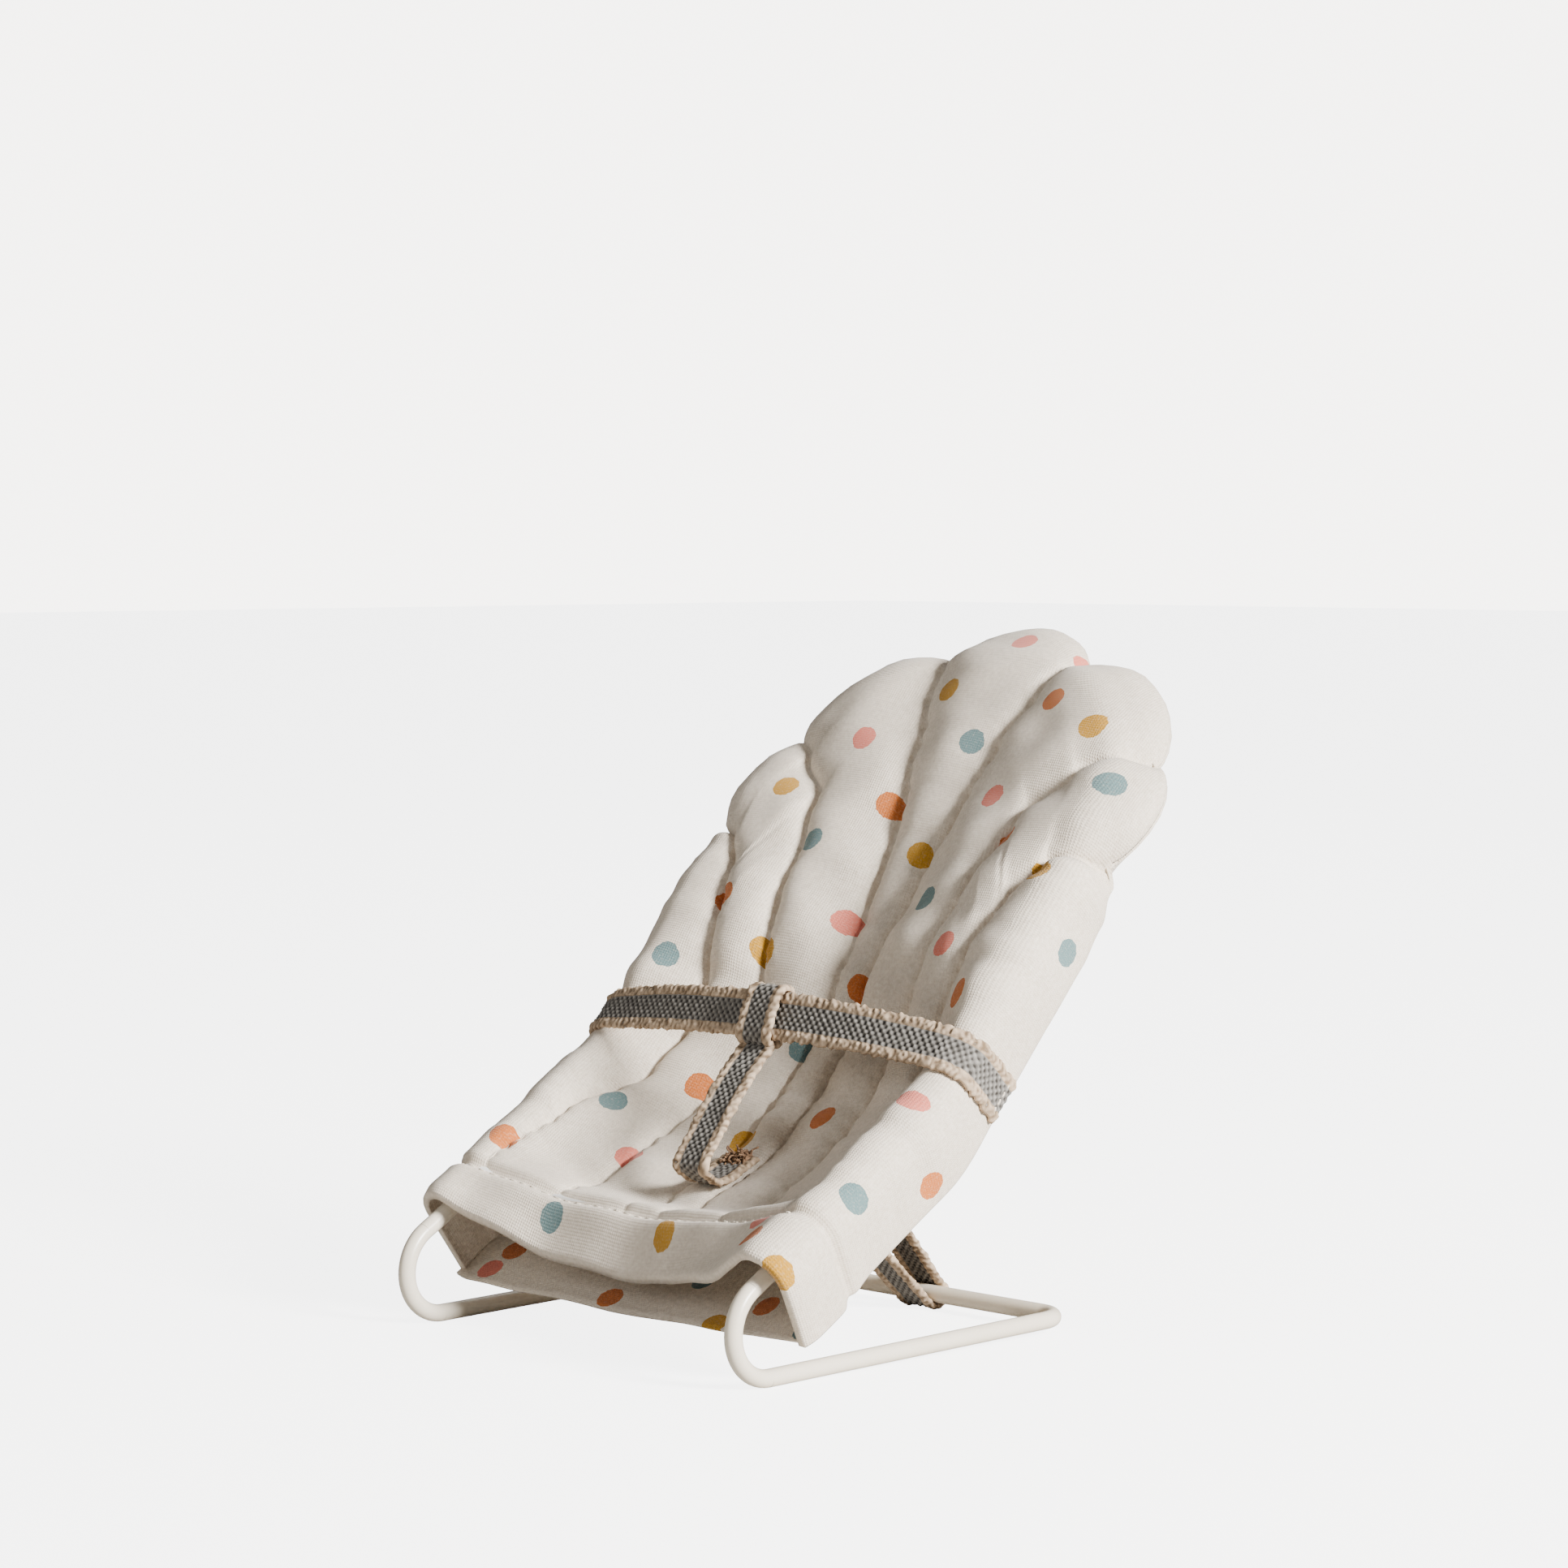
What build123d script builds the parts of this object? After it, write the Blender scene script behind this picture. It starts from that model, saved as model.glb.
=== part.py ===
from build123d import *
import math
import os

# Doll-size bouncer seat. One bent wire makes a floor frame, two spring bends at the front
# and a seat frame. The seat frame slips into a quilted fabric pocket with a shell-shaped top.
# X runs across the seat, +Y towards the head end, +Z up, and the frame stands on Z = 0.
# The model is drawn with Y = 0 at the front of the bends, then moved to its own middle.

# ---- driving dimensions, millimetres and degrees ----
WIRE_D = 3.0                 # painted wire
TRACK = 81.5                 # between the two sides, centre to centre
BASE_DEPTH = 77.3            # front of the bends to the middle of the rear bar
BASE_CORNER_R = 5.0
LOWER_BEND_R = 7.5           # lower quarter of the front bend
UPPER_BEND_R = 8.2           # upper part of the front bend
SEAT_SLOPE = 30.5
BACK_SLOPE = 47.5
POCKET_Y = 8.0               # where the wire goes into the pocket
SEAT_LENGTH = 40.5           # from there to the corner between seat and back
RECLINE_R = 40.0             # bend of the wire between seat and back
BOW_TOP = 135.5              # along the wire, pocket mouth to the top of the bow
BOW_R = 36.0                 # corners of the top bow
MIDDLE_Y = 58.16             # from the front of the bends to the middle of the whole object

CLOTH = 0.5                  # woven cotton, with its printed face
PLY_GAP = 0.06               # between plies that lie on each other
HEM_DEPTH = 8.5              # turned-under front hem
TAPE_W = 8.2                 # woven jute tape
TAPE_T = 1.15
TAPE_STEP = 1.6
THREAD_D = 0.34
STITCH = 1.5
STITCH_PITCH = 2.6

HALF = TRACK / 2
WIRE_R = WIRE_D / 2
BEND_Z = WIRE_R + LOWER_BEND_R
BAR_Z = WIRE_R + TAPE_T + 0.06   # the stay passes under the bar
BOW_X = HALF - BOW_R
BOW_S = BOW_TOP - BOW_R
QUARTER = BOW_R * math.pi / 2
MOUTH_Q = BOW_X + QUARTER + BOW_S

# ---- the pocket, given along the wire (s) and round its bow (q, from the top centre) ----
CREST = [(30, 4.65), (60, 3.3)]                       # outside of the cover above the wire
SAG = [(0, 11.2), (8.5, 5.2), (20, 9.5), (36, 11.5), (60, 11.0), (80, 9.5), (100, 8.5), (130, 7.0)]
NOTCH_Q = [13.8, 43.0, 62.8]                          # notches between the lobes of the shell
NOTCH_OUT = [4.8, 6.5, 4.95]                          # how far outside the wire they lie
LOBE_OUT = [8.2, 4.7, 3.5]                            # and how far the lobes stand beyond them
EDGE_OUT = [(62.8, 4.95), (70, 3.6), (MOUTH_Q, 3.2)]
EDGE_DROP = [(0, 1.5), (13.8, 1.7), (43, 3.5), (62.8, 2.1), (66, 6), (72, 8.5), (80, 9.5), (112, 10), (124, 11), (MOUTH_Q, 12)]
SEAMS = [
    [(0, 4), (50, 4.2), (73, 3.5), (90, 4.8), (105, 7), (118, 9.8), (130, 13.3), (142, 15.7)],
    [(0, 20), (33, 20.5), (45, 18.5), (58, 17.2), (72, 19.2), (87, 22), (104, 25.5), (112, 33), (121, 43.2)],
    [(0, 36), (15, 38), (30, 36), (45, 31), (60, 29), (73, 31), (84, 34), (92, 38), (98, 48.75)],
]
BACK_DROP = [(0, 12.7), (40, 11.8), (60, 10.2), (85, 9.4), (98, 5.5), (110, 3.8), (135, 2.9)]
BACK_SLACK = [(0, 0.5), (40, 1.5), (85, 1.5), (98, 4.0), (115, 5.0)]
BACK_FRONT_S = -1.5
MARGIN = 8.0                                          # cloth outside the wire on the cutting plan
PUFF = 0.13                                           # rise of a flute over its width
PAD_MARGIN = 5.6                                      # how much of that margin the wadding covers
SHOULDER_S = 98.0                                     # height of the lowest notches along the wire
HEM_STEP = 1.5                                        # from the hem to the start of the wadding
BOW_CELLS = 20
SIDE_CELLS = 8
RING = [-MARGIN, -PAD_MARGIN, -3.25, -2.1, -1.0, 0, 1.1, 2.6, 12.0]
WIRE_GAP = 0.35

# ---- straps ----
BELT_S = 53.0                # where the belt crosses the wires
BELT_BOW = 4.0               # how far it stands off at mid-span
LOOP_X = 2.0
LOOP_TRAVEL = 8.0
STAY_X = 7.0
STAY_S = (39.5, 43.5)        # where its two ends are sewn to the backing
ANCHOR_S = 32.6              # where the crotch strap is sewn to the seat


def blend(value, knots):
    """Smooth steps through the (place, height) pairs."""
    places = [k[0] for k in knots]
    value = min(max(value, places[0]), places[-1])
    i = max(j for j in range(len(knots) - 1) if places[j] <= value)
    share = (value - places[i]) / (places[i + 1] - places[i])
    share = share * share * (3 - 2 * share)
    return knots[i][1] * (1 - share) + knots[i + 1][1] * share


def direction(angle):
    return (math.cos(math.radians(angle)), math.sin(math.radians(angle)))


def upper_bend_end():
    turn = math.radians(90 - SEAT_SLOPE)
    return (UPPER_BEND_R * (1 - math.cos(turn)), BEND_Z + UPPER_BEND_R * math.sin(turn))


MOUTH_Z = upper_bend_end()[1] + (POCKET_Y - upper_bend_end()[0]) * math.tan(math.radians(SEAT_SLOPE))
TURN = math.radians(BACK_SLOPE - SEAT_SLOPE)
RECLINE_START = SEAT_LENGTH - RECLINE_R * math.tan(TURN / 2)


def rail(s):
    """(y, z, slope in radians) of the upper wire, s millimetres from the pocket's mouth."""
    c, d = direction(SEAT_SLOPE)
    if s <= RECLINE_START:
        return POCKET_Y + s * c, MOUTH_Z + s * d, math.radians(SEAT_SLOPE)
    y, z = POCKET_Y + RECLINE_START * c, MOUTH_Z + RECLINE_START * d
    turned = min((s - RECLINE_START) / RECLINE_R, TURN)
    slope = math.radians(SEAT_SLOPE) + turned
    y += RECLINE_R * (math.sin(slope) - d)
    z -= RECLINE_R * (math.cos(slope) - c)
    rest = max(s - RECLINE_START - RECLINE_R * TURN, 0)
    return y + rest * math.cos(slope), z + rest * math.sin(slope), slope


def place(x, s, n):
    """The point at x across, s along the wire and n above the plane of the wires."""
    y, z, slope = rail(s)
    return Vector(x, y - n * math.sin(slope), z + n * math.cos(slope))


def bow(q):
    """Plan point on the wire and the way out from it, q along the wire from the top centre."""
    side, q = math.copysign(1, q), abs(q)
    if q <= BOW_X:
        return (side * q, BOW_TOP), (0, 1)
    if q <= BOW_X + QUARTER:
        a = (q - BOW_X) / BOW_R
        return (side * (BOW_X + BOW_R * math.sin(a)), BOW_S + BOW_R * math.cos(a)), (side * math.sin(a), math.cos(a))
    return (side * HALF, BOW_S - (q - BOW_X - QUARTER)), (side, 0)


def nearest(p, s):
    """(q, way out, distance inside the wire) for a plan point."""
    side, p = math.copysign(1, p), abs(p)
    if s <= BOW_S:
        return side * (BOW_X + QUARTER + BOW_S - s), (side, 0), HALF - p
    if p <= BOW_X:
        return side * p, (0, 1), BOW_TOP - s
    a = math.atan2(p - BOW_X, s - BOW_S)
    return side * (BOW_X + BOW_R * a), (side * math.sin(a), math.cos(a)), BOW_R - math.hypot(p - BOW_X, s - BOW_S)


def lobe(share):
    return (1 - share * share) ** 0.75


def edge_out(q):
    """How far the side or top seam lies outside the wire."""
    q = abs(q)
    if q < NOTCH_Q[0]:
        return NOTCH_OUT[0] + LOBE_OUT[0] * lobe(q / NOTCH_Q[0])
    for i in (0, 1):
        if q < NOTCH_Q[i + 1]:
            share = (q - NOTCH_Q[i]) / (NOTCH_Q[i + 1] - NOTCH_Q[i])
            level = NOTCH_OUT[i] * (1 - share) + NOTCH_OUT[i + 1] * share
            return level + LOBE_OUT[i + 1] * lobe(2 * share - 1)
    return blend(q, EDGE_OUT)


def roll(q):
    """Crest radius, angle rolled round the wire, straight run after it: the cover's edge there."""
    radius = blend(bow(q)[0][1], CREST)
    out, drop = edge_out(q), blend(abs(q), EDGE_DROP)
    far = math.hypot(out, drop)
    angle = math.atan2(out, -drop) - math.acos(radius / far)
    return radius, angle, math.sqrt(far * far - radius * radius)


def reach(q):
    """Width of cloth outside the crest."""
    radius, angle, run = roll(q)
    return radius * angle + run


def flute(p, s):
    """Rise of the quilted flutes at a plan point: none on a seam, most between two."""
    lines = [blend(s, seam) for seam in SEAMS] + [HALF + 2 * MARGIN]
    lines = [-v for v in reversed(lines)] + lines
    for left, right in zip(lines, lines[1:]):
        if left < p < right and right - left > 1:
            share = (p - left) / (right - left)
            return PUFF * min(right - left, 17) * (4 * share * (1 - share)) ** 0.8
    return 0


def sag(inside, s, radius):
    """Drop of the cloth below its crest: round the wire first, then a slack curve to the middle."""
    depth = blend(s, SAG)
    lean = math.atan(2 * depth / BOW_R)
    if inside < radius * math.sin(lean):
        return radius - math.sqrt(radius * radius - inside * inside)
    return radius * (1 - 1 / math.cos(lean)) + depth * (1 - (1 - min(inside / BOW_R, 1)) ** 2)


def cover(p, s, depth=0.0):
    """Point in the padded top for plan point p, s; depth is measured down from its outer face."""
    q, out, inside = nearest(p, s)
    wire, _ = bow(q)
    radius, angle, _ = roll(q)
    if inside >= 0:
        n = radius - depth - sag(inside, s, radius - depth)
        if s > HEM_DEPTH:
            n += flute(p, s) * min(inside / 6, 1) * min((s - HEM_DEPTH) / 5, 1)
        return place(p, s, n)
    width = -inside / MARGIN * reach(q)
    rolled = min(width / radius, angle)
    run = width - rolled * radius
    r = (radius - depth) * math.sin(rolled) + run * math.cos(angle)
    n = (radius - depth) * math.cos(rolled) - run * math.sin(angle)
    return place(wire[0] + out[0] * r, wire[1] + out[1] * r, n)


def backing(p, s, depth=0.0):
    """Point in the backing panel, which hangs below the wires from seam to seam."""
    q, out, inside = nearest(p, s)
    wire, _ = bow(q)
    if inside >= 0:
        share = min(inside / BOW_R, 1)
        n = -blend(s, BACK_DROP) - blend(s, BACK_SLACK) * (1 - (1 - share) ** 2)
        return place(p, s, n - depth)
    share = -inside / MARGIN
    radius, angle, run = roll(q)
    inset = radius - CLOTH - 0.15
    r = (inset * math.sin(angle) + run * math.cos(angle)) * share
    level = inset * math.cos(angle) - run * math.sin(angle)
    n = -blend(s, BACK_DROP) * (1 - share ** 2) + level * share ** 2
    return place(wire[0] + out[0] * r, wire[1] + out[1] * r, n - depth)


def ring_point(q, inside):
    """Plan point a distance inside the wire, opposite the place q on it."""
    (x, s), out = bow(q)
    return (round(x - out[0] * inside, 4), round(s - out[1] * inside, 4))


def plan_cells(front):
    """Four-cornered cells of the cutting plan: a ring that follows the wire, and the middle inside it."""
    start = HEM_DEPTH + HEM_STEP
    step = (SHOULDER_S - start) / SIDE_CELLS
    rows = [front, HEM_DEPTH, *[start + step * i for i in range(SIDE_CELLS + 1)]]
    sides = [MOUTH_Q - s for s in rows]
    notch = NOTCH_Q[2]
    over = [notch * (2 * i / BOW_CELLS - 1) for i in range(1, BOW_CELLS)]
    around = [-q for q in sides] + over + sides[::-1]
    ring = [[ring_point(q, inside) for q in around] for inside in RING]
    inner = HALF - RING[-1]
    top = ring[-1][len(rows) - 1:len(rows) + BOW_CELLS]
    middle = []
    for s in rows:
        v = (s - front) / (SHOULDER_S - front)
        line = []
        for i, (x, y) in enumerate(top):
            low = inner * (2 * i / BOW_CELLS - 1)
            line.append((round(low * (1 - v) + x * v, 4), round(front * (1 - v) + y * v, 4)))
        middle.append(line)
    cells = []
    for grid in (ring, middle):
        for low, high in zip(grid, grid[1:]):
            cells += [(low[i], low[i + 1], high[i + 1], high[i]) for i in range(len(low) - 1)]
    return cells


def turned(cells):
    """The same cells, all going round the same way."""
    def area(cell):
        return sum(a[0] * b[1] - b[0] * a[1] for a, b in zip(cell, cell[1:] + cell[:1]))
    return [cell if area(cell) > 0 else cell[::-1] for cell in cells]


def ply(surface, cells, top, bottom):
    """Closed cloth of flat triangles between two depths below a surface, both functions of s."""
    upper = {}
    lower = {}
    for p, s in {corner for cell in cells for corner in cell}:
        upper[p, s] = surface(p, s, top(s))
        lower[p, s] = surface(p, s, bottom(s))
    triangles = []
    edges = set()
    for a, b, c, d in turned(cells):
        triangles += [(upper[a], upper[b], upper[c]), (upper[a], upper[c], upper[d])]
        triangles += [(lower[c], lower[b], lower[a]), (lower[d], lower[c], lower[a])]
        edges |= {(a, b), (b, c), (c, d), (d, a)}
    for a, b in edges:
        if (b, a) not in edges:
            triangles += [(upper[b], upper[a], lower[a]), (upper[b], lower[a], lower[b])]
    faces = [Face(Wire.make_polygon(corners)) for corners in triangles]
    return Solid(Shell(faces))


def in_pad(cell):
    """Whether a cell of the plan lies under the quilting, behind the hem and clear of the seams."""
    return all(s > HEM_DEPTH + 0.1 and nearest(p, s)[2] > -PAD_MARGIN - 0.1 for p, s in cell)


def hem_depth(thick, thin):
    """Depth that changes from a doubled hem to single cloth behind it."""
    return lambda s: thick if s < HEM_DEPTH + 0.1 else thin


# ---- frame ----
def wire_along(path):
    start = path @ 0
    plane = Plane(origin=start, z_dir=path % 0)
    return sweep(plane * Circle(WIRE_R), path=path)


def base_wire():
    """Two rails and the rear bar, raised at the rear by the tape under the bar."""
    front = LOWER_BEND_R
    points = [(-HALF, front, WIRE_R), (-HALF, BASE_DEPTH, BAR_Z), (HALF, BASE_DEPTH, BAR_Z), (HALF, front, WIRE_R)]
    return wire_along(FilletPolyline(*points, radius=BASE_CORNER_R))


def spring_bend(side):
    """Front bend: a quarter turn up from the rail, then over into the slope of the seat."""
    x = side * HALF
    c, d = direction(45)
    low = ThreePointArc(
        (x, LOWER_BEND_R, WIRE_R),
        (x, LOWER_BEND_R * (1 - c), BEND_Z - LOWER_BEND_R * d),
        (x, 0, BEND_Z),
    )
    half_turn = math.radians(90 - SEAT_SLOPE) / 2
    y, z = upper_bend_end()
    middle = (x, UPPER_BEND_R * (1 - math.cos(half_turn)), BEND_Z + UPPER_BEND_R * math.sin(half_turn))
    high = ThreePointArc((x, 0, BEND_Z), middle, (x, y, z))
    return wire_along(low + high)


def seat_wire():
    """Upper wire: rails, the bend at the recline and the rounded bow at the head."""
    def at(x, s):
        y, z, _ = rail(s)
        return (x, y, z)

    arc_end = RECLINE_START + RECLINE_R * TURN
    corner = BOW_R * math.sin(math.radians(45))
    y, z = upper_bend_end()
    left = [
        Line((-HALF, y, z), at(-HALF, RECLINE_START)),
        ThreePointArc(at(-HALF, RECLINE_START), at(-HALF, (RECLINE_START + arc_end) / 2), at(-HALF, arc_end)),
        Line(at(-HALF, arc_end), at(-HALF, BOW_S)),
        ThreePointArc(at(-HALF, BOW_S), at(-BOW_X - corner, BOW_S + corner), at(-BOW_X, BOW_TOP)),
    ]
    right = [
        ThreePointArc(at(BOW_X, BOW_TOP), at(BOW_X + corner, BOW_S + corner), at(HALF, BOW_S)),
        Line(at(HALF, BOW_S), at(HALF, arc_end)),
        ThreePointArc(at(HALF, arc_end), at(HALF, (RECLINE_START + arc_end) / 2), at(HALF, RECLINE_START)),
        Line(at(HALF, RECLINE_START), (HALF, y, z)),
    ]
    path = Wire([*left, Line(at(-BOW_X, BOW_TOP), at(BOW_X, BOW_TOP)), *right])
    return wire_along(path)


# ---- pocket ----
def quilted_cover():
    """Printed cotton, doubled where its front edge is turned under."""
    return ply(cover, plan_cells(0), lambda s: 0, hem_depth(2 * CLOTH, CLOTH))


def padding_depth(s):
    """Depth of the lining's lower face, just above the wire."""
    return blend(s, CREST) - WIRE_R - WIRE_GAP


def wadding():
    cells = [cell for cell in plan_cells(0) if in_pad(cell)]
    return ply(cover, cells, lambda s: CLOTH + PLY_GAP, lambda s: padding_depth(s) - CLOTH - PLY_GAP)


def quilt_lining():
    cells = [cell for cell in plan_cells(0) if in_pad(cell)]
    return ply(cover, cells, lambda s: padding_depth(s) - CLOTH, padding_depth)


def backing_panel():
    """Plain cloth under the frame, doubled upwards along its front edge."""
    return ply(backing, plan_cells(BACK_FRONT_S), hem_depth(-CLOTH, 0), lambda s: CLOTH)


# ---- straps ----
def rounded(points, radii):
    """The same path with rounded corners, as short straight steps."""
    path = FilletPolyline(*points, radius=radii)
    count = math.ceil(path.length / TAPE_STEP)
    return [(v.X, v.Y) for v in (path @ (i / count) for i in range(count + 1))]


def band(points, plane, width=TAPE_W):
    """Flat tape that follows a path drawn on a plane and is as wide as given across it."""
    steps = [(b[0] - a[0], b[1] - a[1]) for a, b in zip(points, points[1:])]
    steps = [(x / math.hypot(x, y), y / math.hypot(x, y)) for x, y in steps]
    before, after = [steps[0], *steps], [*steps, steps[-1]]
    sides = ([], [])
    for (x, y), a, b in zip(points, before, after):
        reach_out = TAPE_T / 2 / (1 + a[0] * b[0] + a[1] * b[1])
        across = (-(a[1] + b[1]) * reach_out, (a[0] + b[0]) * reach_out)
        sides[0].append((x + across[0], y + across[1]))
        sides[1].append((x - across[0], y - across[1]))
    outline = Polyline(*sides[0], *sides[1][::-1], close=True)
    return extrude(plane * make_face(outline), amount=width / 2, both=True)


def waist_belt():
    """Belt over both wires: down each side to its seam and bowed off the seat at mid-span."""
    y, z, slope = rail(BELT_S)
    plane = Plane(origin=(0, y, z), x_dir=(1, 0, 0), z_dir=(0, -math.cos(slope), -math.sin(slope)))
    crest = blend(BELT_S, CREST) + 0.9 + TAPE_T / 2
    side = HALF + crest
    seam = 1 - blend(abs(nearest(HALF, BELT_S)[0]), EDGE_DROP)
    right = [(HALF / 2, crest + BELT_BOW * 0.8), (HALF - 1, crest + 0.6), (side, crest - 3.2), (side - 0.6, seam)]
    left = [(-x, n) for x, n in reversed(right)]
    points = [*left, (0, crest + BELT_BOW), *right]
    return band(rounded(points, [3, 12, 60, 60, 60, 12, 3]), plane)


def belt_height(x):
    """Height of the belt's middle over the plane of the wires near mid-span."""
    crest = blend(BELT_S, CREST) + 0.9 + TAPE_T / 2
    return crest + BELT_BOW - 0.2 * BELT_BOW * abs(x) / (HALF / 2) - 0.1


def loop_frame():
    y, z, slope = rail(BELT_S)
    n = belt_height(LOOP_X)
    centre = (LOOP_X, y - n * math.sin(slope), z + n * math.cos(slope))
    return Plane(origin=centre, x_dir=(0, math.cos(slope), math.sin(slope)), z_dir=(1, 0, 0))


LOOP_IN_W = TAPE_W + 0.8
LOOP_IN_T = TAPE_T + 1.6


def crotch_loop():
    """The strap's upper end: a loop of tape round the belt, free to slide along it."""
    outer = RectangleRounded(LOOP_IN_W + 2 * TAPE_T, LOOP_IN_T + 2 * TAPE_T, 1.6)
    inner = RectangleRounded(LOOP_IN_W, LOOP_IN_T, 0.5)
    return extrude(loop_frame() * (outer - inner), amount=TAPE_W / 2, both=True)


def side_plane(x):
    """Plane whose own x and y are the object's Y and Z."""
    return Plane(origin=(x, 0, 0), x_dir=(0, 1, 0), z_dir=(1, 0, 0))


def seat_top(s):
    """Height above the wires that clears the cover everywhere under the crotch strap."""
    y, z, slope = rail(s)
    points = [cover(LOOP_X + TAPE_W * (i / 8 - 0.5), s) for i in range(9)]
    return max((v.Z - z) * math.cos(slope) - (v.Y - y) * math.sin(slope) for v in points)


def crotch_strap():
    """Strap from the loop forward and down to the seat, then back along it to its stitches."""
    corner = loop_frame().from_local_coords((-LOOP_IN_W / 2 - TAPE_T - 0.8, 0, 0))
    seat = [place(LOOP_X, s, seat_top(s) + 0.45 + TAPE_T / 2) for s in (19, 25, ANCHOR_S)]
    points = [(corner.Y, corner.Z), (31.0, 38.0), (24.5, 31.5), *[(v.Y, v.Z) for v in seat]]
    return band(rounded(points, [12, 4, 2, 20]), side_plane(LOOP_X))


def rear_stay():
    """Tape from the backing down round the rear bar and back up."""
    ends = [backing(STAY_X, s, CLOTH + 0.7) for s in STAY_S]
    r = WIRE_R + TAPE_T / 2 + 0.03
    legs = []
    for end, side in zip(ends, (-1, 1)):
        dy, dz = BASE_DEPTH - end.Y, BAR_Z - end.Z
        lean = math.atan2(dz, dy) - side * math.asin(r / math.hypot(dy, dz))
        legs.append(lean + side * math.pi / 2)
    steps = 12
    turn = [legs[0] + (legs[1] - legs[0]) * i / steps for i in range(steps + 1)]
    wrap = r / math.cos((legs[1] - legs[0]) / steps / 2)
    points = [(BASE_DEPTH + wrap * math.cos(a), BAR_Z + wrap * math.sin(a)) for a in turn]
    points = [(ends[0].Y, ends[0].Z), *points, (ends[1].Y, ends[1].Z)]
    return band(points, side_plane(STAY_X))


# ---- threads ----
def stitch(start, end):
    """One stitch: a short straight length of thread."""
    plane = Plane(origin=start, z_dir=end - start)
    return extrude(plane * RegularPolygon(THREAD_D / 2, 4), amount=(end - start).length)


def stitches(line, length):
    """Stitches along line(t), t in millimetres from 0 to length."""
    count = int(length / STITCH_PITCH)
    places = [STITCH_PITCH * (i + 0.2) for i in range(count)]
    return Compound([stitch(line(t), line(t + STITCH)) for t in places])


def quilting_threads():
    rows = []
    for seam in SEAMS:
        end = seam[-1][0] - 2
        for side in (-1, 1):
            def line(t, seam=seam, side=side):
                s = HEM_DEPTH + HEM_STEP + t
                return cover(side * blend(s, seam), s, 0.05)
            rows += stitches(line, end - HEM_DEPTH - HEM_STEP).solids()
    return Compound(rows)


def edge_threads():
    """Row of stitches beside the side and top seams."""
    def line(t):
        q = -MOUTH_Q + 2 + t
        (x, s), out = bow(q)
        d = MARGIN * (1 - 1.2 / reach(q))
        return cover(x + out[0] * d, s + out[1] * d, 0.05)
    return stitches(line, 2 * MOUTH_Q - 6)


def cover_hem_thread():
    """Row of stitches that holds the turned edge of the cover."""
    return stitches(lambda t: cover(t - HALF, HEM_DEPTH - 1, 0.05), 2 * HALF)


def backing_hem_thread():
    """Row of stitches that holds the turned edge of the backing."""
    return stitches(lambda t: backing(t - HALF + 3, HEM_DEPTH - 3, CLOTH - 0.05), 2 * HALF - 6)


def cross_tack(corner, across, along):
    """Box of stitches with its four sides sewn."""
    corners = [corner, corner + across, corner + across + along, corner + along]
    return [stitch(a, b) for a, b in zip(corners, corners[1:] + corners[:1])]


def belt_tacks():
    solids = []
    side = HALF + blend(BELT_S, CREST) + 0.6 + TAPE_T
    y, z, slope = rail(BELT_S)
    along = Vector(0, math.cos(slope), math.sin(slope))
    up = Vector(0, -math.sin(slope), math.cos(slope))
    for sign in (-1, 1):
        base = Vector(sign * side, y, z) - along * 3 - up * 7.5
        solids += cross_tack(base, along * 6, up * 2.5)
    return Compound(solids)


def crotch_tack():
    """Stitches through the strap's lower end into the seat."""
    end = place(LOOP_X, ANCHOR_S - 1, seat_top(ANCHOR_S - 1) + 0.5 + TAPE_T)
    slope = rail(ANCHOR_S)[2]
    along = Vector(0, -math.cos(slope), -math.sin(slope))
    return Compound(cross_tack(end - Vector(2.8, 0, 0), Vector(5.6, 0, 0), along * 2.2))


def stay_tack():
    """Stitches that hold the stay's two ends to the backing."""
    rows = []
    for s in STAY_S:
        a = backing(STAY_X - 3, s, CLOTH + 0.1)
        b = backing(STAY_X + 3, s, CLOTH + 0.1)
        rows.append(stitch(a, b))
    return Compound(rows)


def save(name, shape):
    parts = [s.moved(Location((0, -MIDDLE_Y, 0))) for s in shape.solids()]
    whole = parts[0] if len(parts) == 1 else Compound(parts)
    export_step(whole, f"parts/{name}.step")
    box = whole.bounding_box()
    print(f"{name:18s} {len(parts):4d} solids {sum(p.volume for p in parts):9.1f} mm3", box.min, box.max)


os.makedirs("parts", exist_ok=True)
save("base_wire", base_wire())
save("left_spring_bend", spring_bend(-1))
save("right_spring_bend", spring_bend(1))
save("seat_wire", seat_wire())
save("quilted_cover", quilted_cover())
save("wadding", wadding())
save("quilt_lining", quilt_lining())
save("backing_panel", backing_panel())
save("waist_belt", waist_belt())
save("crotch_loop", crotch_loop())
save("crotch_strap", crotch_strap())
save("rear_stay", rear_stay())
save("quilting_threads", quilting_threads())
save("edge_threads", edge_threads())
save("cover_hem_thread", cover_hem_thread())
save("backing_hem_thread", backing_hem_thread())
save("belt_tacks", belt_tacks())
save("crotch_tack", crotch_tack())
save("stay_tack", stay_tack())
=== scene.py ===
import math
import random

import bpy
from mathutils import Matrix, Vector, noise


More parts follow.
